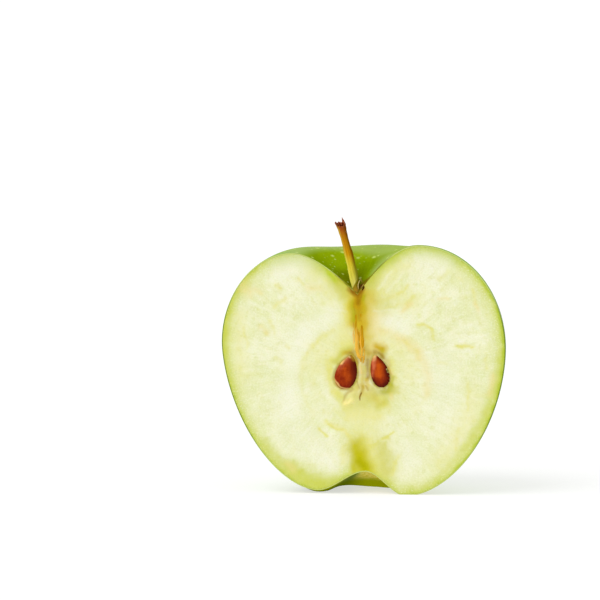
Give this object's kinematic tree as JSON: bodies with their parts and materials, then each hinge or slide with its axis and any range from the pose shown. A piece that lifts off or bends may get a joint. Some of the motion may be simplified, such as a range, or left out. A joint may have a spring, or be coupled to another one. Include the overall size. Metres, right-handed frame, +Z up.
{
  "type": "apple half",
  "caption": "Half of a green apple cut through its stem and core, standing on its base lobes, with its seeds in the core; food prop.",
  "frame": {"origin": "on the surface the half stands on, under the middle of its box", "axes": "+Z up along the core towards the stem; the cut face looks along -Y and the round back is at +Y; +X is to the right as the cut face is seen"},
  "size_m": [0.0724, 0.0362, 0.071],
  "materials": {
    "flesh": "moist pale flesh with a waxy green peel",
    "stem": "dry woody stem",
    "seed": "glossy brown seed coat"
  },
  "bodies": {
    "root": {"flesh": "flesh", "stem": "stem", "seed_left": "seed", "seed_right": "seed"}
  },
  "joints": []
}
